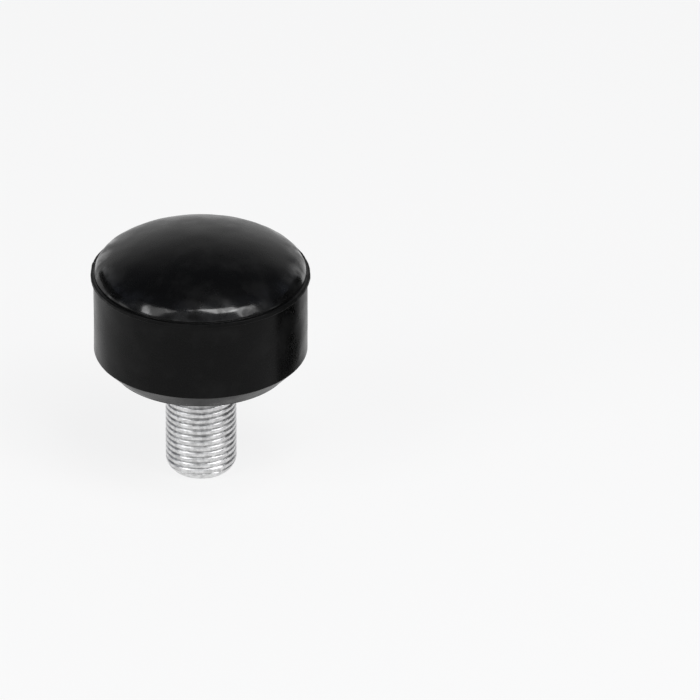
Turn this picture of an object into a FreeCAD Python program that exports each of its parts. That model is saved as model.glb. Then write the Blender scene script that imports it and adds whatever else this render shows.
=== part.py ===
import FreeCAD, Part

import os

import Sketcher

# A roller skate toe stop: a rubber cap moulded round the head of a threaded steel stem. The origin is on the
# stem's axis in the plane of the cap's flat base. The dome points up (+Z) and the thread points down.

SIZES = [
    # Rubber cap
    ("base_diameter", 39.6, "flat base of the cap"),
    ("side_diameter", 47.8, "straight side wall"),
    ("chamfer_height", 4.25, "height of the slope between base and side wall"),
    ("parting_height", 22.75, "middle of the lip above the base"),
    ("lip_thickness", 1.25, "lip at the mould's parting line"),
    ("lip_overhang", 0.7, "how far the lip stands out of the side wall"),
    ("dome_inset", 0.1, "how far the dome's foot lies inside the side wall"),
    ("dome_foot_height", 1.5, "from the lip up to the crown's edge, before that edge is rounded"),
    ("crown_radius", 41.6, "radius of the domed wearing face"),
    ("shoulder_rounding", 3.8, "edge between the crown and the dome's foot"),
    ("lip_rounding", 0.45, "outer edges of the lip"),
    ("edge_rounding", 0.35, "both edges of the base chamfer"),
    # Threaded stem
    ("thread_diameter", 15.875, "major diameter, five eighths of an inch"),
    ("thread_pitch", 25.4 / 18, "18 threads to the inch"),
    ("stem_reach", 26.05, "stem below the base"),
    ("end_chamfer_length", 2.75, "slope at the stem's end"),
    ("end_diameter", 12.4, "flat end of the stem before it is rounded"),
    ("end_rounding", 0.5, "edge of the flat end"),
    ("collar_diameter", 18.0, "plain collar inside the rubber, flush with the base"),
    ("head_seat_height", 9.0, "underside of the head above the base"),
    ("head_flats", 22.0, "across the flats of the hexagonal head"),
    ("head_height", 7.0, "thickness of the head"),
    ("head_slope", 30.0, "slope of the head's cut corners, in degrees"),
    # Anchor plate
    ("plate_thickness", 2.5, "sheet that the steel disc is stamped from"),
    ("plate_rim", 1.5, "steel between the holes and the disc's edge"),
    ("plate_rounding", 0.4, "outer edges of the disc"),
    ("flow_hole_diameter", 5.0, "holes that the rubber fills"),
    ("flow_circle_diameter", 30.0, "circle that the holes lie on"),
    ("flow_hole_count", 6, "number of holes"),
]

# Points of a sketched line or arc
START, END, CENTRE = 1, 2, 3
# A sketch's own references: its horizontal axis, whose start is the origin, and its vertical axis
HORIZONTAL_AXIS, VERTICAL_AXIS = -1, -2
# Two measured places nearer than this are the same place, and a cut takes away more than this volume
SAME_PLACE = 1e-4
SMALLEST_CUT = 1e-3

doc = FreeCAD.newDocument("toe_stop")


def write_sizes():
    """One row for each size: its meaning, and its value under an alias."""
    sheet = doc.addObject("Spreadsheet::Sheet", "sizes")
    for row, (name, size, meaning) in enumerate(SIZES, start=1):
        sheet.set(f"A{row}", meaning)
        sheet.set(f"B{row}", str(size))
        sheet.setAlias(f"B{row}", name)
    doc.recompute()
    return sheet


def measure(expression):
    """The number that an expression of the sizes comes to."""
    return float(sizes.evalExpression(expression))


def new_body(name):
    body = doc.addObject("PartDesign::Body", name)
    body.Label = name
    body.Placement = FreeCAD.Placement()
    return body


def origin_feature(body, role):
    """One of the body's own origin planes or axes."""
    return next(feature for feature in body.Origin.OriginFeatures if feature.Role == role)


def new_sketch(body, name, plane_role):
    sketch = body.newObject("Sketcher::SketchObject", name)
    sketch.AttachmentSupport = [(origin_feature(body, plane_role), "")]
    sketch.MapMode = "FlatFace"
    return sketch


def bind_constraint(sketch, expression, *constraint):
    """Adds a constraint whose value follows an expression of the sizes."""
    index = sketch.addConstraint(Sketcher.Constraint(*constraint, measure(expression)))
    sketch.setExpression(f"Constraints[{index}]", expression)


def place_point(sketch, line, end, across, up):
    """Holds a point at expressions of the sizes, or on an axis where the expression is 0."""
    if across == "0":
        sketch.addConstraint(Sketcher.Constraint("PointOnObject", line, end, VERTICAL_AXIS))
    else:
        bind_constraint(sketch, across, "DistanceX", HORIZONTAL_AXIS, START, line, end)
    if up == "0":
        sketch.addConstraint(Sketcher.Constraint("PointOnObject", line, end, HORIZONTAL_AXIS))
    else:
        bind_constraint(sketch, up, "DistanceY", HORIZONTAL_AXIS, START, line, end)


def draw_outline(body, name, plane_role, corners):
    """A closed outline of straight lines through corners given as (across, up) expressions."""
    sketch = new_sketch(body, name, plane_role)
    points = [FreeCAD.Vector(measure(across), measure(up), 0) for across, up in corners]
    count = len(points)
    for start, end in zip(points, points[1:] + points[:1]):
        sketch.addGeometry(Part.LineSegment(start, end), False)
    for line in range(count):
        following = (line + 1) % count
        sketch.addConstraint(Sketcher.Constraint("Coincident", line, END, following, START))
    for line, (across, up) in enumerate(corners):
        place_point(sketch, line, START, across, up)
    return sketch


def draw_circle(body, name, diameter, across="0"):
    """A circle across the stem's axis, or to one side of it."""
    sketch = new_sketch(body, name, "XY_Plane")
    centre = FreeCAD.Vector(measure(across), 0, 0)
    radius = measure(diameter) / 2
    circle = sketch.addGeometry(Part.Circle(centre, FreeCAD.Vector(0, 0, 1), radius), False)
    place_point(sketch, circle, CENTRE, across, "0")
    bind_constraint(sketch, diameter, "Diameter", circle)
    return sketch


def draw_hexagon(body, name, across_flats):
    """A regular hexagon on the stem's axis, with flats to the left and right."""
    corner = f"{across_flats} / sqrt(3)"
    half_side = f"{across_flats} / sqrt(3) / 2"
    half_flats = f"{across_flats} / 2"
    corners = [
        ("0", corner),
        (f"-({half_flats})", half_side),
        (f"-({half_flats})", f"-({half_side})"),
        ("0", f"-({corner})"),
        (half_flats, f"-({half_side})"),
        (half_flats, half_side),
    ]
    return draw_outline(body, name, "XY_Plane", corners)


def turn(body, kind, name, sketch):
    """Turns a sketch a whole turn about the stem's axis, to add it or to cut it away."""
    feature = body.newObject(kind, name)
    feature.Profile = sketch
    feature.ReferenceAxis = (origin_feature(body, "Z_Axis"), "")
    feature.Angle = 360
    feature.Refine = False
    doc.recompute()
    return feature


def pad(body, name, sketch, length, start, downward=False):
    """Thickens a sketch from a start height, upward unless told otherwise. Its faces stay divided as drawn."""
    sketch.setExpression("AttachmentOffset.Base.z", start)
    feature = body.newObject("PartDesign::Pad", name)
    feature.Profile = sketch
    feature.Reversed = downward
    feature.Refine = False
    feature.setExpression("Length", length)
    doc.recompute()
    return feature


def circles_at(shape, diameter, height):
    """Names of the shape's circular edges of one diameter at one height."""
    radius = measure(diameter) / 2
    level = measure(height)
    names = []
    for number, edge in enumerate(shape.Edges, start=1):
        if edge.Degenerated or edge.Curve.TypeId != "Part::GeomCircle":
            continue
        same_radius = abs(edge.Curve.Radius - radius) < SAME_PLACE
        same_level = abs(edge.Curve.Center.z - level) < SAME_PLACE
        if same_radius and same_level:
            names.append(f"Edge{number}")
    return names


def round_edges(body, name, edges_at, radius):
    """Rounds the circular edges at each (diameter, height)."""
    base = body.Tip
    edges = [edge for place in edges_at for edge in circles_at(base.Shape, *place)]
    feature = body.newObject("PartDesign::Fillet", name)
    feature.Base = (base, edges)
    feature.Refine = False
    feature.setExpression("Radius", radius)
    doc.recompute()
    return feature


def check_removed(before, after, what):
    """A cut that misses its solid takes nothing away."""
    if not after.Volume < before - SMALLEST_CUT:
        raise RuntimeError(f"{what} cut nothing")


def make_cap_form():
    """The mould's cavity: base chamfer, side wall, dome and lip, before the steel is taken out of it.

    The mould's lower half shapes the wall and its upper half the dome, and the lip stands out where they meet.
    The shoulder's rounding is limited to what fits on the dome's foot: its wall, over half the corner's turn.
    """
    body = new_body("cap_form")
    base_radius = "sizes.base_diameter / 2"
    side_radius = "sizes.side_diameter / 2"
    lip_radius = "sizes.side_diameter / 2 + sizes.lip_overhang"
    foot_radius = "sizes.side_diameter / 2 - sizes.dome_inset"
    lip_bottom = "sizes.parting_height - sizes.lip_thickness / 2"
    lip_top = "sizes.parting_height + sizes.lip_thickness / 2"
    crown_edge = f"{lip_top} + sizes.dome_foot_height"
    wall = draw_outline(body, "wall_outline", "XZ_Plane", [
        ("0", "0"),
        (base_radius, "0"),
        (side_radius, "sizes.chamfer_height"),
        (side_radius, "sizes.parting_height"),
        ("0", "sizes.parting_height"),
    ])
    turn(body, "PartDesign::Revolution", "wall", wall)
    turn(body, "PartDesign::Revolution", "dome", draw_dome(body, foot_radius, crown_edge))
    foot_wall = "(sizes.lip_thickness / 2 + sizes.dome_foot_height)"
    corner_width = f"sqrt((sizes.crown_radius + {foot_radius}) / (sizes.crown_radius - ({foot_radius})))"
    shoulder_radius = f"min(sizes.shoulder_rounding; 0.95 * {foot_wall} * {corner_width})"
    round_edges(body, "shoulder", [(f"2 * ({foot_radius})", crown_edge)], shoulder_radius)
    lip = draw_outline(body, "lip_outline", "XZ_Plane", [
        ("0", lip_bottom),
        (lip_radius, lip_bottom),
        (lip_radius, lip_top),
        ("0", lip_top),
    ])
    turn(body, "PartDesign::Revolution", "lip", lip)
    lip_edges = [(f"2 * ({lip_radius})", lip_bottom), (f"2 * ({lip_radius})", lip_top)]
    lip_edge_radius = "min(sizes.lip_rounding; 0.45 * sizes.lip_thickness)"
    round_edges(body, "lip_edges", lip_edges, lip_edge_radius)
    base_edges = [("sizes.base_diameter", "0"), ("sizes.side_diameter", "sizes.chamfer_height")]
    round_edges(body, "base_edges", base_edges, "sizes.edge_rounding")
    return body


def draw_dome(body, edge_radius, edge_height):
    """Half the dome's section above the parting line: a flat bottom, the foot, the crown's arc and the axis."""
    sketch = new_sketch(body, "dome_outline", "XZ_Plane")
    radius = measure("sizes.crown_radius")
    edge = FreeCAD.Vector(measure(edge_radius), measure(edge_height), 0)
    middle = FreeCAD.Vector(0, measure("sizes.parting_height"), 0)
    corner = FreeCAD.Vector(edge.x, middle.y, 0)
    centre = FreeCAD.Vector(0, edge.y - (radius ** 2 - edge.x ** 2) ** 0.5, 0)
    top = FreeCAD.Vector(0, centre.y + radius, 0)
    edge_angle = (edge - centre).getAngle(FreeCAD.Vector(1, 0, 0))
    upright = (top - centre).getAngle(FreeCAD.Vector(1, 0, 0))
    circle = Part.Circle(centre, FreeCAD.Vector(0, 0, 1), radius)
    bottom = sketch.addGeometry(Part.LineSegment(middle, corner), False)
    foot = sketch.addGeometry(Part.LineSegment(corner, edge), False)
    crown = sketch.addGeometry(Part.ArcOfCircle(circle, edge_angle, upright), False)
    axis = sketch.addGeometry(Part.LineSegment(top, middle), False)
    sketch.addConstraint(Sketcher.Constraint("Coincident", bottom, END, foot, START))
    sketch.addConstraint(Sketcher.Constraint("Coincident", foot, END, crown, START))
    sketch.addConstraint(Sketcher.Constraint("Coincident", crown, END, axis, START))
    sketch.addConstraint(Sketcher.Constraint("Coincident", axis, END, bottom, START))
    place_point(sketch, bottom, START, "0", "sizes.parting_height")
    place_point(sketch, foot, START, edge_radius, "sizes.parting_height")
    place_point(sketch, foot, END, edge_radius, edge_height)
    sketch.addConstraint(Sketcher.Constraint("PointOnObject", crown, CENTRE, VERTICAL_AXIS))
    sketch.addConstraint(Sketcher.Constraint("PointOnObject", crown, END, VERTICAL_AXIS))
    bind_constraint(sketch, "sizes.crown_radius", "Radius", crown)
    return sketch


def draw_divided_circle(body, name, diameter):
    """A circle drawn as eight equal arcs, which divides the wall above it into eight faces."""
    sketch = new_sketch(body, name, "XY_Plane")
    circle = Part.Circle(FreeCAD.Vector(0, 0, 0), FreeCAD.Vector(0, 0, 1), measure(diameter) / 2)
    eighth = circle.LastParameter / 8
    arcs = [
        sketch.addGeometry(Part.ArcOfCircle(circle, part * eighth, (part + 1) * eighth), False)
        for part in range(8)
    ]
    right = f"{diameter} / 2 / sqrt(2)"
    left = f"-({right})"
    bind_constraint(sketch, f"{diameter} / 2", "Radius", arcs[0])
    for arc in arcs:
        sketch.addConstraint(Sketcher.Constraint("Coincident", arc, CENTRE, HORIZONTAL_AXIS, START))
    for arc, axis in zip(arcs[::2], [HORIZONTAL_AXIS, VERTICAL_AXIS] * 2):
        sketch.addConstraint(Sketcher.Constraint("PointOnObject", arc, START, axis))
    for arc, across in zip(arcs[1::2], [right, left, left, right]):
        bind_constraint(sketch, across, "DistanceX", HORIZONTAL_AXIS, START, arc, START)
    for arc, following in zip(arcs, arcs[1:]):
        sketch.addConstraint(Sketcher.Constraint("Coincident", arc, END, following, START))
    sketch.addConstraint(Sketcher.Constraint("PointOnObject", arcs[-1], END, HORIZONTAL_AXIS))
    return sketch


def cut_end_chamfer(body):
    """Slopes the stem's end, and rounds the edge of the flat that is left."""
    before = body.Tip.Shape.Volume
    end_radius = "sizes.end_diameter / 2"
    outside = "sizes.thread_diameter / 2 + sizes.end_chamfer_length"
    slope_top = "sizes.end_chamfer_length - sizes.stem_reach"
    below_end = "-(sizes.stem_reach + sizes.end_chamfer_length)"
    waste = draw_outline(body, "end_waste", "XZ_Plane", [
        (end_radius, "-(sizes.stem_reach)"),
        ("sizes.thread_diameter / 2", slope_top),
        (outside, slope_top),
        (outside, below_end),
        (end_radius, below_end),
    ])
    turn(body, "PartDesign::Groove", "end_chamfer", waste)
    check_removed(before, body.Tip.Shape, "the end chamfer")
    round_edges(body, "end_edge", [("sizes.end_diameter", "-(sizes.stem_reach)")], "sizes.end_rounding")


def cut_thread(body):
    """A right-hand thread of 60 degree form, with a flat crest of an eighth of the pitch.

    The groove is 17/24 of the sharp thread's height deep, so its floor is a sixth of the pitch wide. Its outline
    stands a sixteenth of that height out of the crest, and starts one and a quarter pitches above the base.
    """
    before = body.Tip.Shape.Volume
    sharp_height = "sqrt(3) / 2 * sizes.thread_pitch"
    floor_radius = f"sizes.thread_diameter / 2 - 17 / 24 * {sharp_height}"
    mouth_radius = f"sizes.thread_diameter / 2 + {sharp_height} / 16"
    start = "1.25 * sizes.thread_pitch"
    half_floor = "sizes.thread_pitch / 12"
    half_mouth = "sizes.thread_pitch * 15 / 32"
    groove_outline = draw_outline(body, "groove_outline", "XZ_Plane", [
        (floor_radius, f"{start} - {half_floor}"),
        (mouth_radius, f"{start} - {half_mouth}"),
        (mouth_radius, f"{start} + {half_mouth}"),
        (floor_radius, f"{start} + {half_floor}"),
    ])
    doc.recompute()
    thread = body.newObject("PartDesign::SubtractiveHelix", "thread")
    thread.Profile = groove_outline
    thread.ReferenceAxis = (origin_feature(body, "Z_Axis"), "")
    thread.Mode = "pitch-height-angle"
    thread.setExpression("Pitch", "sizes.thread_pitch")
    thread.setExpression("Height", "sizes.stem_reach + 2 * sizes.thread_pitch")
    thread.Reversed = True
    thread.LeftHanded = False
    thread.Refine = False
    doc.recompute()
    check_removed(before, thread.Shape, "the thread")


def cut_head_corners(body):
    """Cuts the head's top corners to a cone that meets the middle of each flat's top edge."""
    before = body.Tip.Shape.Volume
    flats_radius = "sizes.head_flats / 2"
    corner_radius = "sizes.head_flats / sqrt(3)"
    top = "sizes.head_seat_height + sizes.head_height"
    outside = f"{corner_radius} + sizes.head_height"
    above = f"{top} + sizes.head_height"
    slope_bottom = f"{top} - ({outside} - {flats_radius}) * tan(sizes.head_slope * 1 deg)"
    waste = draw_outline(body, "corner_waste", "XZ_Plane", [
        (flats_radius, top),
        (outside, slope_bottom),
        (outside, above),
        (flats_radius, above),
    ])
    turn(body, "PartDesign::Groove", "head_corners", waste)
    check_removed(before, body.Tip.Shape, "the head's corner cut")


def make_threaded_stem():
    """Steel stem: a threaded shank below the base, and a collar and a hexagonal head inside the rubber.

    The collar follows the thread, so that it closes the thread's start.
    """
    body = new_body("threaded_stem")
    shank = draw_divided_circle(body, "shank_circle", "sizes.thread_diameter")
    pad(body, "shank", shank, "sizes.stem_reach", "0", downward=True)
    cut_end_chamfer(body)
    cut_thread(body)
    collar = draw_circle(body, "collar_circle", "sizes.collar_diameter")
    pad(body, "collar", collar, "sizes.head_seat_height", "0")
    head = draw_hexagon(body, "head_hexagon", "sizes.head_flats")
    pad(body, "head", head, "sizes.head_height", "sizes.head_seat_height")
    cut_head_corners(body)
    return body


def make_anchor_plate():
    """Steel disc pressed over the collar up to the head, just wide enough for its ring of holes and a rim."""
    body = new_body("anchor_plate")
    bottom = "sizes.head_seat_height - sizes.plate_thickness"
    plate_diameter = "sizes.flow_circle_diameter + sizes.flow_hole_diameter + 2 * sizes.plate_rim"
    disc = draw_circle(body, "disc_circle", plate_diameter)
    pad(body, "disc", disc, "sizes.plate_thickness", bottom)
    disc_edges = [(plate_diameter, bottom), (plate_diameter, "sizes.head_seat_height")]
    round_edges(body, "disc_edges", disc_edges, "sizes.plate_rounding")
    bore = draw_circle(body, "bore_circle", "sizes.collar_diameter")
    cut_through_plate(body, "bore", bore)
    hole = draw_circle(body, "hole_circle", "sizes.flow_hole_diameter", "sizes.flow_circle_diameter / 2")
    flow_hole = cut_through_plate(body, "flow_hole", hole)
    holes = body.newObject("PartDesign::PolarPattern", "flow_holes")
    holes.Originals = [flow_hole]
    holes.Axis = (origin_feature(body, "Z_Axis"), "")
    holes.Angle = 360
    holes.setExpression("Occurrences", "sizes.flow_hole_count")
    body.Tip = holes
    before = flow_hole.Shape.Volume
    doc.recompute()
    check_removed(before, holes.Shape, "the ring of flow holes")
    return body


def cut_through_plate(body, name, sketch):
    """Cuts a sketch through the plate, from its underside up."""
    before = body.Tip.Shape.Volume
    sketch.setExpression("AttachmentOffset.Base.z", "sizes.head_seat_height - sizes.plate_thickness")
    hole = body.newObject("PartDesign::Pocket", name)
    hole.Profile = sketch
    hole.Reversed = True
    hole.setExpression("Length", "sizes.plate_thickness")
    doc.recompute()
    check_removed(before, hole.Shape, name)
    return hole


def make_rubber_cap(cap_form, threaded_stem, anchor_plate):
    """The rubber that fills the mould round the stem's head and the plate."""
    insert = doc.addObject("Part::Fuse", "insert")
    insert.Base = threaded_stem
    insert.Tool = anchor_plate
    cap = doc.addObject("Part::Cut", "rubber_cap")
    cap.Base = cap_form
    cap.Tool = insert
    cap.Label = "rubber_cap"
    cap.Placement = FreeCAD.Placement()
    doc.recompute()
    check_removed(cap_form.Shape.Volume, cap.Shape, "the insert")
    return cap


def check_model(sub_parts):
    """Stops before anything is written if an object failed or a sub-part isn't one sound solid."""
    for item in doc.Objects:
        if "Invalid" in item.State or "Error" in item.State:
            raise RuntimeError(f"{item.Name} failed: {item.State}")
    for item in sub_parts:
        if item.Shape.isNull() or not item.Shape.isValid() or len(item.Shape.Solids) != 1:
            raise RuntimeError(f"{item.Label} isn't one valid solid")


def write_parts(sub_parts):
    os.makedirs("parts", exist_ok=True)
    for item in sub_parts:
        item.Shape.exportStep(f"parts/{item.Label}.step")
        print(item.Label, round(item.Shape.Volume, 1), "mm3")


sizes = write_sizes()
cap_form = make_cap_form()
threaded_stem = make_threaded_stem()
anchor_plate = make_anchor_plate()
rubber_cap = make_rubber_cap(cap_form, threaded_stem, anchor_plate)
sub_parts = [rubber_cap, threaded_stem, anchor_plate]
check_model(sub_parts)
write_parts(sub_parts)
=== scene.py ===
import math

import bpy
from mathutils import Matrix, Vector, noise


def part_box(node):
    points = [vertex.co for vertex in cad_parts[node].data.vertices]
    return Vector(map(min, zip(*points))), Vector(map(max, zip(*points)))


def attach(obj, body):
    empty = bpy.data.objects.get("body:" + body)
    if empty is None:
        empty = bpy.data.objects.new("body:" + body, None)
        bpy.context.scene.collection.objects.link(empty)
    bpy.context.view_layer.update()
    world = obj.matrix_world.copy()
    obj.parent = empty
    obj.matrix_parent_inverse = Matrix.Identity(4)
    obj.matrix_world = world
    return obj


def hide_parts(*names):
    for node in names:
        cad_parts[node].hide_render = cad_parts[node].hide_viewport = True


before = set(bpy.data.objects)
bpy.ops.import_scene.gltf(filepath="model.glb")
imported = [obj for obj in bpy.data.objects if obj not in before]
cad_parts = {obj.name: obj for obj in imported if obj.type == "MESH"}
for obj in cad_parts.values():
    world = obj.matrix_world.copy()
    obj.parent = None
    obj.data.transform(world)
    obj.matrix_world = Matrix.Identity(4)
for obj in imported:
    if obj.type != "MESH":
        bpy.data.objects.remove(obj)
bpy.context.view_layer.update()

# A roller skate toe stop, upright: a rubber cap moulded round the head of a zinc-plated, threaded stem.
# Lengths are in metres. The origin is on the stem's axis in the plane of the cap's flat base.

MM = 0.001

# Rubber cap
BASE_RADIUS = 19.8 * MM
SIDE_RADIUS = 23.9 * MM
CHAMFER_HEIGHT = 4.25 * MM
PARTING_HEIGHT = 22.75 * MM
LIP_THICKNESS = 1.25 * MM
LIP_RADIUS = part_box("rubber_cap")[1].x
DOME_INSET = 0.1 * MM
DOME_FOOT_HEIGHT = 1.5 * MM
CROWN_RADIUS = 41.6 * MM
SHOULDER_ROUNDING = 3.8 * MM
LIP_ROUNDING = 0.3 * MM
CREASE_ROUNDING = 0.12 * MM
EDGE_ROUNDING = 0.22 * MM

# Steel inside and below the rubber. THREAD_START is in turns, and CREST_FULLNESS is a power.
THREAD_RADIUS = 7.9375 * MM
PITCH = 25.4 / 18 * MM
THREAD_DEPTH = 0.5 * MM
CREST_FULLNESS = 3.6
THREAD_START = 0.25
STEM_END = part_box("threaded_stem")[0].z
END_RADIUS = 6.2 * MM
END_CHAMFER = 2.75 * MM
END_ROUNDING = 0.35 * MM
END_BULGE = 0.35 * MM
COLLAR_RADIUS = 9.0 * MM
HEAD_SEAT = 9.0 * MM
HEAD_HEIGHT = 7.0 * MM
HEAD_TOP = HEAD_SEAT + HEAD_HEIGHT
HEAD_FLATS = 22.0 * MM
HEAD_CORNER_RADIUS = HEAD_FLATS / math.sqrt(3)
HEAD_CHAMFER_ANGLE = math.radians(30)
PLATE_RADIUS = 19.0 * MM
PLATE_THICKNESS = 2.5 * MM
PLATE_BOTTOM = HEAD_SEAT - PLATE_THICKNESS

# Unevenness: how long its waves are, the noise that counts as level, and how far it reaches
RUBBER_WAVES = {"size": 7 * MM, "level": 0.36, "depth": 0.08 * MM}
RUBBER_RIPPLES = {"size": 2.6 * MM, "level": 0.6, "depth": 0.012 * MM}
RUBBER_DENTS = {"size": 3.6 * MM, "level": 0.3, "depth": 0.1 * MM, "shift": Vector((7, 3, 1))}
PLATING_GRAIN = {"size": 0.9 * MM, "level": 0, "depth": 0.018 * MM}
PLATING_WAVES = {"size": 3.1 * MM, "level": 0, "depth": 0.025 * MM}

# The dents come and go between these heights on the shoulder
DENTS_START = (23.4 * MM, 24.6 * MM)
DENTS_END = (28.5 * MM, 26.5 * MM)

# The lip's ragged edge: how close its waves and nicks are, how deep, and the band that they fade out in
LIP_WAVES = 9
LIP_WAVE_DEPTH = 0.1 * MM
LIP_NICKS = 31
LIP_NICK_DEPTH = 0.04 * MM
LIP_LOSS = 0.08 * MM
RAGGED_BAND = (LIP_THICKNESS * 0.62, LIP_THICKNESS * 0.4)

# How finely the meshes are divided
CAP_SEGMENTS = 420
STEM_SEGMENTS = 288
ROWS_PER_PITCH = 22
CROWN_STEPS = 64
SHOULDER_STEPS = 24
CORNER_STEPS = 7
OUTSIDE_STEP = 0.6 * MM
HOLLOW_STEP = 3 * MM
CROWN_TIP_ANGLE = 0.01
HOLLOW_TIP_RADIUS = 0.1 * MM
BASE_FACE_HEIGHT = 0.05 * MM
SLACK = 1e-6

# Faces that meet at more than this show as an edge
SHARP_ANGLE = math.radians(40)

# The photograph: its side, where the stem's axis and the base's plane cross in it, its scale and its angle
PHOTO_SIDE = 700
AXIS_PIXEL = 200.8
BASE_PIXEL = 363.7
PIXELS_PER_METRE = 4476
CAMERA_ELEVATION = math.radians(28.85)
CAMERA_DISTANCE = 4.0
VIEW_DEPTH = 30
SENSOR = 36

# Finishes: grey levels and shader values, in pairs from one extreme of a surface to the other
RUBBER_BLACK = 0.0018
RUBBER_BLOOM = 0.004
RUBBER_ROUGHNESS = (0.24, 0.34)
RUBBER_SPECULAR = (0.5, 0.36)
RUBBER_IOR = 1.2
WALL_DULLNESS = 0.35
LIP_EXTRA_ROUGHNESS = 0.15
LIP_MASK_WIDTH = 0.2 * MM
COAT_WEIGHT = (0.15, 0.9)
COAT_ROUGHNESS = 0.14
ZINC_DARK = 0.53
ZINC_BRIGHT = 0.77
ZINC_ROUGHNESS = (0.3, 0.48)
# Painted shade: the plating is drawn darker in the thread's roots, fading in between these two radii
ROOT_PAINTED_SHADE = 0.46
ROOT_SHADE_START = THREAD_RADIUS - 0.3 * MM
ROOT_SHADE_FULL = THREAD_RADIUS - 0.55 * MM
STEEL_DARK = 0.42
STEEL_BRIGHT = 0.58
STEEL_ROUGHNESS = (0.35, 0.5)

# The glossy patches come and go between these heights on the shoulder
GLOSS_START = (23.3 * MM, 23.9 * MM)
GLOSS_END = (25.6 * MM, 27.6 * MM)

# Studio
BACKGROUND = 0.925
GLOW_SHARE = 0.9
FLOOR_REACH = 8
LAMP_DISTANCE = 1.0
TOP_LAMP_SIZE = (0.38, 0.6)
TOP_LAMP_RADIANCE = 7.5
SIDE_LAMP_SIZE = (0.34, 0.95)
SIDE_LAMP_RADIANCE = 5.4
CARD_DISTANCE = 60 * MM
CARD_GREY = 0.01
FLOOR_GAP = 0.1 * MM

# The room: where its low walls end, how bright they and the camera's side are, and its colour elsewhere
WALL_FADE_START = math.sin(math.radians(4))
WALL_FADE_END = math.sin(math.radians(20))
WALL_LIGHT = 0.35
FRONT_LIGHT = 0.3
DARK_ROOM = (0.1, 0.11, 0.14, 1)


# Outlines and meshes

def line(start, end, step):
    """Points from start towards end, without the end, no further apart than step."""
    count = max(1, math.ceil((end - start).length / step))
    return [start.lerp(end, number / count) for number in range(count)]


def arc(centre, radius, first, last, count):
    """Points on an arc between two angles in radians, with both ends."""
    points = []
    for number in range(count + 1):
        angle = first + (last - first) * number / count
        points.append(centre + radius * Vector((math.cos(angle), math.sin(angle))))
    return points


def corner(before, point, after, radius):
    """An arc of that radius in place of a sharp corner."""
    to_before = (before - point).normalized()
    to_after = (after - point).normalized()
    half = to_before.angle(to_after) / 2
    reach = radius / math.tan(half)
    centre = point + (to_before + to_after).normalized() * radius / math.sin(half)
    first = (point + to_before * reach) - centre
    last = (point + to_after * reach) - centre
    turn = first.angle_signed(last)
    points = []
    for number in range(CORNER_STEPS + 1):
        angle = -turn * number / CORNER_STEPS
        points.append(centre + Vector((
            first.x * math.cos(angle) - first.y * math.sin(angle),
            first.x * math.sin(angle) + first.y * math.cos(angle),
        )))
    return points


def rounded(corners, step):
    """An open outline through corners, each a radius from the axis, a height and a rounding."""
    places = [Vector((across, up)) for across, up, rounding in corners]
    outline = [places[0]]
    for number in range(1, len(places)):
        place = places[number]
        rounding = corners[number][2]
        bend = [place]
        if rounding and number + 1 < len(places):
            bend = corner(places[number - 1], place, places[number + 1], rounding)
        outline += line(outline[-1], bend[0], step)[1:]
        outline += bend
    return outline


def round_point(radius, angle, height):
    """The point at a radius and angle round the stem's axis."""
    return Vector((radius * math.cos(angle), radius * math.sin(angle), height))


def turns(segments):
    """The angles of one ring's points."""
    return [2 * math.pi * side / segments for side in range(segments)]


def add_object(name, data):
    thing = bpy.data.objects.new(name, data)
    bpy.context.scene.collection.objects.link(thing)
    return thing


def skin(name, rings):
    """A closed mesh through rings of equally many points, from the top down, with a fan at each end."""
    size = len(rings[0])
    points = [point for ring in rings for point in ring]
    faces = []
    for number in range(len(rings) - 1):
        top = number * size
        for side in range(size):
            following = (side + 1) % size
            faces.append((top + side, top + size + side, top + size + following, top + following))
    top_middle = len(points)
    bottom_middle = top_middle + 1
    bottom = (len(rings) - 1) * size
    points += [sum(rings[0], Vector()) / size, sum(rings[-1], Vector()) / size]
    for side in range(size):
        faces.append((side, (side + 1) % size, top_middle))
    for side in range(size):
        faces.append((bottom + (side + 1) % size, bottom + side, bottom_middle))
    mesh = bpy.data.meshes.new(name)
    mesh.from_pydata(points, [], faces)
    mesh.shade_smooth()
    mesh.set_sharp_from_angle(angle=SHARP_ANGLE)
    return add_object(name, mesh)


def fade(value, low, high):
    """0 below low, 1 above high and smooth between. It falls instead where high is below low."""
    share = min(1, max(0, (value - low) / (high - low)))
    return share * share * (3 - 2 * share)


def waves(point, size, level, depth, shift=Vector()):
    """Smooth unevenness of one size at a point."""
    return (noise.noise(point / size + shift) - level) * depth


# Rubber cap

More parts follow.
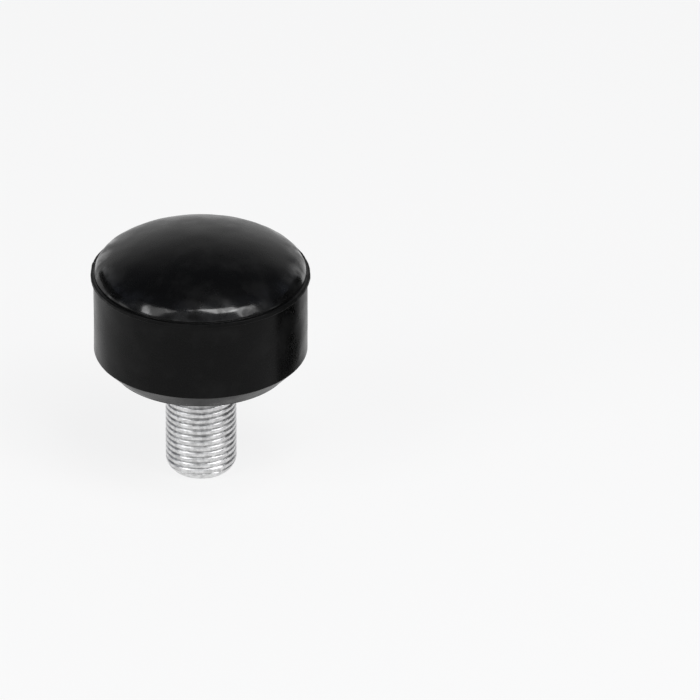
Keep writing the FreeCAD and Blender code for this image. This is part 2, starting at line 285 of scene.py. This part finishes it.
def cap_outline():
    """Half the cap's section, from the crown's top down the outside, under and into the steel's hollow."""
    lip_top = PARTING_HEIGHT + LIP_THICKNESS / 2
    lip_bottom = PARTING_HEIGHT - LIP_THICKNESS / 2
    foot_radius = SIDE_RADIUS - DOME_INSET
    crown_edge = lip_top + DOME_FOOT_HEIGHT
    crown_centre = Vector((0, crown_edge - math.sqrt(CROWN_RADIUS ** 2 - foot_radius ** 2)))
    shoulder_x = foot_radius - SHOULDER_ROUNDING
    shoulder_reach = CROWN_RADIUS - SHOULDER_ROUNDING
    shoulder_y = crown_centre.y + math.sqrt(shoulder_reach ** 2 - shoulder_x ** 2)
    shoulder_centre = Vector((shoulder_x, shoulder_y))
    shoulder_angle = math.acos(shoulder_x / shoulder_reach)
    crease_angle = math.asin((lip_top + CREASE_ROUNDING - shoulder_centre.y) / SHOULDER_ROUNDING)
    crown = arc(crown_centre, CROWN_RADIUS, math.pi / 2 - CROWN_TIP_ANGLE, shoulder_angle, CROWN_STEPS)
    shoulder = arc(shoulder_centre, SHOULDER_ROUNDING, shoulder_angle, crease_angle, SHOULDER_STEPS)
    crease = shoulder[-1]
    outside = rounded([
        (crease.x, crease.y, 0),
        (crease.x, lip_top, CREASE_ROUNDING / 2),
        (LIP_RADIUS, lip_top, LIP_ROUNDING),
        (LIP_RADIUS, lip_bottom, LIP_ROUNDING),
        (SIDE_RADIUS, lip_bottom, CREASE_ROUNDING),
        (SIDE_RADIUS, CHAMFER_HEIGHT, EDGE_ROUNDING),
        (BASE_RADIUS, 0, EDGE_ROUNDING),
        (COLLAR_RADIUS, 0, 0),
    ], OUTSIDE_STEP)
    hollow = rounded([
        (COLLAR_RADIUS, 0, 0),
        (COLLAR_RADIUS, PLATE_BOTTOM, 0),
        (PLATE_RADIUS, PLATE_BOTTOM, 0),
        (PLATE_RADIUS, HEAD_SEAT, 0),
        (HEAD_CORNER_RADIUS, HEAD_SEAT, 0),
        (HEAD_CORNER_RADIUS, HEAD_TOP, 0),
        (HOLLOW_TIP_RADIUS, HEAD_TOP, 0),
    ], HOLLOW_STEP)
    return crown + shoulder[1:] + outside[1:] + hollow[1:]


def stays_true(place):
    """Whether a point of the cap's section is on its base face or in the middle of the hollow's roof."""
    in_roof = place.x <= COLLAR_RADIUS - SLACK and place.y < HEAD_TOP + SLACK
    return in_roof or place.y < BASE_FACE_HEIGHT


def unevenness(point, angle):
    """How far a spot of the rubber lies outside its true shape. It is mostly below zero, so inside."""
    shoulder = fade(point.z, *DENTS_START) * fade(point.z, *DENTS_END)
    moulded = waves(point, **RUBBER_WAVES) + waves(point, **RUBBER_RIPPLES)
    dents = waves(point, **RUBBER_DENTS) * shoulder
    on_lip = fade(abs(point.z - PARTING_HEIGHT), *RAGGED_BAND)
    around = round_point(1, angle, 0)
    edge = noise.noise(around * LIP_WAVES) * LIP_WAVE_DEPTH
    nicks = noise.noise(around * LIP_NICKS) * LIP_NICK_DEPTH
    return moulded + dents + (edge + nicks - LIP_LOSS) * on_lip


def make_rubber_cap():
    outline = cap_outline()
    rings = []
    for number, place in enumerate(outline):
        before = outline[max(0, number - 1)]
        after = outline[min(len(outline) - 1, number + 1)]
        along = (after - before).normalized()
        ring = []
        for angle in turns(CAP_SEGMENTS):
            point = round_point(place.x, angle, place.y)
            outward = round_point(-along.y, angle, along.x)
            amount = 0 if stays_true(place) else unevenness(point, angle)
            ring.append(point + amount * outward)
        rings.append(ring)
    return skin("moulded_cap", rings)


# Threaded stem

def thread_radius(height, angle):
    """The thread's radius at one height and angle. It is right-handed, with rounded crests."""
    turn = (height / PITCH - angle / (2 * math.pi) + THREAD_START) % 1
    from_crest = min(turn, 1 - turn) * 2
    return THREAD_RADIUS - THREAD_DEPTH * from_crest ** CREST_FULLNESS


def end_limit(height):
    """The largest radius at a height, which shrinks near the stem's end in a bulging chamfer."""
    share = 1 - min(1, (height - STEM_END) / END_CHAMFER)
    bulge = END_BULGE * math.sin(math.pi * share)
    edge = max(0, END_ROUNDING - (height - STEM_END))
    rounding = END_ROUNDING - math.sqrt(END_ROUNDING ** 2 - edge ** 2)
    return THREAD_RADIUS - (THREAD_RADIUS - END_RADIUS) * share + bulge - rounding


def hexagon_radius(angle):
    """The head's radius: flats to the left and right."""
    sixth = math.pi / 3
    return HEAD_FLATS / 2 / math.cos((angle + sixth / 2) % sixth - sixth / 2)


def make_threaded_stem():
    angles = turns(STEM_SEGMENTS)
    head_chamfer = (HEAD_CORNER_RADIUS - HEAD_FLATS / 2) * math.tan(HEAD_CHAMFER_ANGLE)
    shapes = [
        (HEAD_TOP, lambda angle: HEAD_FLATS / 2),
        (HEAD_TOP - head_chamfer, hexagon_radius),
        (HEAD_SEAT, hexagon_radius),
        (HEAD_SEAT, lambda angle: COLLAR_RADIUS),
        (0, lambda angle: COLLAR_RADIUS),
    ]
    rings = []
    for height, radius_at in shapes:
        rings.append([round_point(radius_at(angle), angle, height) for angle in angles])
    rows = math.ceil(-STEM_END / (PITCH / ROWS_PER_PITCH))
    for number in range(rows + 1):
        height = STEM_END * number / rows
        ring = []
        for angle in angles:
            radius = min(thread_radius(height, angle), end_limit(height))
            spot = round_point(radius, angle, height)
            radius += waves(spot, **PLATING_GRAIN) + waves(spot, **PLATING_WAVES)
            ring.append(round_point(radius, angle, height))
        rings.append(ring)
    return skin("zinc_stem", rings)


# Materials

class Nodes:
    """Short ways to add and join the nodes of a material or the world."""

    def __init__(self, owner):
        owner.use_nodes = True
        self.owner = owner
        self.tree = owner.node_tree
        self.shader = self.tree.nodes.get("Principled BSDF")

    def add(self, kind, **settings):
        node = self.tree.nodes.new(kind)
        for name, value in settings.items():
            setattr(node, name, value)
        return node

    def feed(self, target, value):
        """Sets a socket to a number or colour, or joins it to another node's socket."""
        if isinstance(value, bpy.types.NodeSocket):
            self.tree.links.new(value, target)
        else:
            target.default_value = value

    def surface(self, name, value):
        """Feeds one of the shader's own sockets."""
        self.feed(self.shader.inputs[name], value)

    def place(self):
        return self.add("ShaderNodeTexCoord").outputs["Object"]

    def height_and_radius(self):
        """A spot's height above the base, and how far it is from the stem's axis."""
        where = self.add("ShaderNodeSeparateXYZ")
        self.feed(where.inputs[0], self.place())
        squares = [self.math("POWER", where.outputs[name], 2.0) for name in ("X", "Y")]
        return where.outputs["Z"], self.math("SQRT", self.math("ADD", *squares))

    def noise(self, scale, detail, roughness=0.5):
        node = self.add("ShaderNodeTexNoise")
        self.feed(node.inputs["Vector"], self.place())
        self.feed(node.inputs["Scale"], scale)
        self.feed(node.inputs["Detail"], detail)
        self.feed(node.inputs["Roughness"], roughness)
        return node.outputs["Fac"]

    def ramp(self, value, low, high, out_low=0.0, out_high=1.0):
        """A smooth change from one number to another as a value goes from low to high."""
        node = self.add("ShaderNodeMapRange", interpolation_type="SMOOTHSTEP")
        self.feed(node.inputs["Value"], value)
        self.feed(node.inputs["From Min"], low)
        self.feed(node.inputs["From Max"], high)
        self.feed(node.inputs["To Min"], out_low)
        self.feed(node.inputs["To Max"], out_high)
        return node.outputs["Result"]

    def math(self, operation, first, second=0.0):
        node = self.add("ShaderNodeMath", operation=operation)
        self.feed(node.inputs[0], first)
        self.feed(node.inputs[1], second)
        return node.outputs[0]

    def mix(self, share, first, second):
        node = self.add("ShaderNodeMix", data_type="RGBA")
        self.feed(node.inputs["Factor"], share)
        self.feed(node.inputs["A"], first)
        self.feed(node.inputs["B"], second)
        return node.outputs["Result"]

    def bump(self, height, strength, distance):
        node = self.add("ShaderNodeBump")
        self.feed(node.inputs["Height"], height)
        self.feed(node.inputs["Strength"], strength)
        self.feed(node.inputs["Distance"], distance)
        self.feed(self.shader.inputs["Normal"], node.outputs["Normal"])


def material_nodes(name):
    return Nodes(bpy.data.materials.new(name))


def grey(level):
    return (level, level, level, 1)


def rubber_material():
    """Half-gloss black rubber: smudged, in glossy patches on the shoulder, duller from the lip down."""
    nodes = material_nodes("black_rubber")
    height, radius = nodes.height_and_radius()
    smudge = nodes.noise(scale=160, detail=4.0, roughness=0.6)
    bloom = nodes.ramp(smudge, low=0.45, high=0.72)
    nodes.surface("Base Color", nodes.mix(bloom, grey(RUBBER_BLACK), grey(RUBBER_BLOOM)))
    from_parting = nodes.math("ABSOLUTE", nodes.math("SUBTRACT", height, PARTING_HEIGHT))
    in_band = nodes.ramp(from_parting, low=LIP_THICKNESS * 0.6, high=LIP_THICKNESS * 0.5)
    stands_out = nodes.ramp(radius, low=SIDE_RADIUS, high=SIDE_RADIUS + LIP_MASK_WIDTH)
    lip = nodes.math("MULTIPLY", in_band, stands_out)
    rough = nodes.ramp(smudge, 0.35, 0.7, *RUBBER_ROUGHNESS)
    rough_lip = nodes.math("MULTIPLY", lip, LIP_EXTRA_ROUGHNESS)
    nodes.surface("Roughness", nodes.math("ADD", rough, rough_lip))
    chamfer = nodes.ramp(height, low=CHAMFER_HEIGHT, high=CHAMFER_HEIGHT - EDGE_ROUNDING)
    wall = nodes.ramp(height, PARTING_HEIGHT, PARTING_HEIGHT - LIP_THICKNESS, out_high=WALL_DULLNESS)
    dull = nodes.math("MAXIMUM", wall, nodes.math("MAXIMUM", lip, chamfer))
    nodes.surface("Specular IOR Level", nodes.ramp(dull, 0.0, 1.0, *RUBBER_SPECULAR))
    nodes.surface("IOR", RUBBER_IOR)
    shoulder = nodes.ramp(height, *GLOSS_START)
    crown = nodes.ramp(height, *GLOSS_END)
    spots = nodes.noise(scale=230, detail=3.0, roughness=0.55)
    patches = nodes.ramp(spots, 0.4, 0.62, *COAT_WEIGHT)
    glossy = nodes.math("MULTIPLY", nodes.math("SUBTRACT", shoulder, crown), patches)
    nodes.surface("Coat Weight", glossy)
    nodes.surface("Coat Roughness", COAT_ROUGHNESS)
    nodes.bump(nodes.noise(scale=900, detail=2.0), strength=0.1, distance=0.02 * MM)
    return nodes.owner


def zinc_material():
    """Bright zinc plating, blotchy, with painted shade that darkens the thread's roots."""
    nodes = material_nodes("zinc_plating")
    height, radius = nodes.height_and_radius()
    # Painted shade: the plating's colour darkens deep in the thread's roots, except on the end chamfer
    deep = nodes.ramp(radius, low=ROOT_SHADE_START, high=ROOT_SHADE_FULL)
    above_end = nodes.ramp(height, low=STEM_END + END_CHAMFER * 0.8, high=STEM_END + END_CHAMFER)
    root = nodes.math("MULTIPLY", deep, above_end)
    blotch = nodes.noise(scale=800, detail=5.0, roughness=0.7)
    bright = nodes.ramp(blotch, low=0.38, high=0.62)
    plating = nodes.mix(bright, grey(ZINC_DARK), grey(ZINC_BRIGHT))
    nodes.surface("Base Color", nodes.mix(root, plating, grey(ROOT_PAINTED_SHADE)))
    nodes.surface("Metallic", 1.0)
    nodes.surface("Roughness", nodes.ramp(blotch, 0.3, 0.7, *ZINC_ROUGHNESS))
    nodes.bump(nodes.noise(scale=1900, detail=4.0), strength=0.4, distance=0.05 * MM)
    return nodes.owner


def plate_material():
    """Plain stamped steel of the plate inside the rubber."""
    nodes = material_nodes("stamped_steel")
    rolled = nodes.noise(scale=700, detail=3.0)
    nodes.surface("Base Color", nodes.mix(rolled, grey(STEEL_DARK), grey(STEEL_BRIGHT)))
    nodes.surface("Metallic", 1.0)
    nodes.surface("Roughness", nodes.ramp(rolled, 0.3, 0.7, *STEEL_ROUGHNESS))
    nodes.bump(rolled, strength=0.2, distance=0.03 * MM)
    return nodes.owner


def floor_material():
    """Matt pale floor. What the camera and gloss see of it mostly glows evenly, so its shadow is faint."""
    nodes = material_nodes("pale_floor")
    nodes.surface("Base Color", grey(BACKGROUND))
    nodes.surface("Roughness", 1.0)
    nodes.surface("Specular IOR Level", 0.0)
    glow = nodes.add("ShaderNodeEmission")
    nodes.feed(glow.inputs["Color"], grey(BACKGROUND))
    path = nodes.add("ShaderNodeLightPath")
    seen = nodes.math("MAXIMUM", path.outputs["Is Camera Ray"], path.outputs["Is Glossy Ray"])
    seen = nodes.math("MAXIMUM", seen, path.outputs["Is Transmission Ray"])
    blend = nodes.add("ShaderNodeMixShader")
    nodes.feed(blend.inputs["Fac"], nodes.math("MULTIPLY", seen, GLOW_SHARE))
    nodes.feed(blend.inputs[1], nodes.shader.outputs["BSDF"])
    nodes.feed(blend.inputs[2], glow.outputs["Emission"])
    output = nodes.tree.nodes["Material Output"]
    nodes.feed(output.inputs["Surface"], blend.outputs["Shader"])
    return nodes.owner


def card_material(name):
    """Matt black card."""
    nodes = material_nodes(name)
    nodes.surface("Base Color", grey(CARD_GREY))
    nodes.surface("Roughness", 1.0)
    return nodes.owner


# Studio

def add_sheet(name, corners, material):
    """A flat four-cornered piece of the studio."""
    mesh = bpy.data.meshes.new(name)
    mesh.from_pydata(corners, [], [(0, 1, 2, 3)])
    mesh.materials.append(material)
    return add_object(name, mesh)


def make_floor():
    ends = [(-1, -1), (1, -1), (1, 1), (-1, 1)]
    corners = [(FLOOR_REACH * across, FLOOR_REACH * along, STEM_END) for across, along in ends]
    floor = add_sheet("floor", corners, floor_material())


def make_world():
    """A white backdrop, low grey walls beside it and a dim room on the camera's side. The rest is dark."""
    nodes = Nodes(bpy.data.worlds.new("studio"))
    bpy.context.scene.world = nodes.owner
    direction = nodes.add("ShaderNodeTexCoord").outputs["Generated"]
    parts = nodes.add("ShaderNodeSeparateXYZ")
    nodes.feed(parts.inputs[0], direction)
    away = parts.outputs["Y"]
    up = parts.outputs["Z"]
    backdrop = nodes.ramp(away, low=0.48, high=0.93)
    low_walls = nodes.ramp(up, WALL_FADE_START, WALL_FADE_END, out_low=WALL_LIGHT, out_high=0)
    behind = nodes.ramp(away, low=-0.4, high=0.4)
    front_room = nodes.ramp(away, low=-0.35, high=-0.7, out_high=FRONT_LIGHT)
    lit = nodes.math("MAXIMUM", backdrop, nodes.math("MULTIPLY", low_walls, behind))
    lit = nodes.math("MAXIMUM", lit, front_room)
    background = nodes.tree.nodes["Background"]
    nodes.feed(background.inputs["Color"], nodes.mix(lit, DARK_ROOM, grey(1)))


def aim(thing, place, away):
    """Puts a lamp or the camera at a place, with its back towards a direction."""
    thing.location = place
    thing.rotation_mode = "QUATERNION"
    thing.rotation_quaternion = away.to_track_quat("Z", "Y")


def add_softbox(name, direction, size, radiance):
    """A rectangular lamp that faces the toe stop from one direction. Its width is level."""
    lamp = bpy.data.lights.new(name, "AREA")
    lamp.shape = "RECTANGLE"
    lamp.size, lamp.size_y = size
    lamp.energy = radiance * math.pi * size[0] * size[1]
    softbox = add_object(name, lamp)
    away = Vector(direction).normalized()
    aim(softbox, away * LAMP_DISTANCE, away)
    softbox.visible_camera = False


def make_lamps():
    add_softbox("top_softbox", (0.24, -0.36, 0.90), TOP_LAMP_SIZE, TOP_LAMP_RADIANCE)
    add_softbox("left_softbox", (-0.66, -0.48, 0.54), SIDE_LAMP_SIZE, SIDE_LAMP_RADIANCE)
    add_softbox("right_softbox", (0.67, -0.49, 0.54), SIDE_LAMP_SIZE, SIDE_LAMP_RADIANCE)


def add_black_card(name, across, front, back, low, high):
    """An upright card beside the toe stop that shows in its gloss only."""
    corners = [(across, front, low), (across, back, low), (across, back, high), (across, front, high)]
    card = add_sheet(name, corners, card_material(name))
    card.visible_camera = False
    card.visible_diffuse = False
    card.visible_shadow = False


def make_black_cards():
    """The right card darkens a stripe of the side wall and of the dome, the left one the dome only."""
    above_floor = STEM_END + FLOOR_GAP
    add_black_card("right_card", CARD_DISTANCE, -16 * MM, 32 * MM, low=above_floor, high=45 * MM)
    add_black_card("left_card", -CARD_DISTANCE, -10 * MM, 50 * MM, low=24 * MM, high=50 * MM)


def make_camera():
    """The photograph's view: its middle is to the right of the stem's axis and a little above the base."""
    camera = add_object("camera", bpy.data.cameras.new("camera"))
    bpy.context.scene.camera = camera
    up = Vector((0, math.sin(CAMERA_ELEVATION), math.cos(CAMERA_ELEVATION)))
    back = Vector((0, -math.cos(CAMERA_ELEVATION), math.sin(CAMERA_ELEVATION)))
    right_of_axis = (PHOTO_SIDE / 2 - AXIS_PIXEL) / PIXELS_PER_METRE
    above_base = (BASE_PIXEL - PHOTO_SIDE / 2) / PIXELS_PER_METRE
    target = Vector((right_of_axis, 0, 0)) + up * above_base
    aim(camera, target + back * CAMERA_DISTANCE, back)
    camera.data.sensor_width = SENSOR
    camera.data.lens = SENSOR * CAMERA_DISTANCE * PIXELS_PER_METRE / PHOTO_SIDE
    camera.data.clip_end = VIEW_DEPTH


def dress(piece, material, node):
    piece.data.materials.append(material)
    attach(piece, "root")
    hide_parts(node)


make_camera()
make_world()
make_lamps()
make_black_cards()
make_floor()
dress(make_rubber_cap(), rubber_material(), "rubber_cap")
dress(make_threaded_stem(), zinc_material(), "threaded_stem")
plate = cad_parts["anchor_plate"]
plate.data.materials.clear()
plate.data.materials.append(plate_material())

bpy.context.scene.view_settings.view_transform = "Standard"
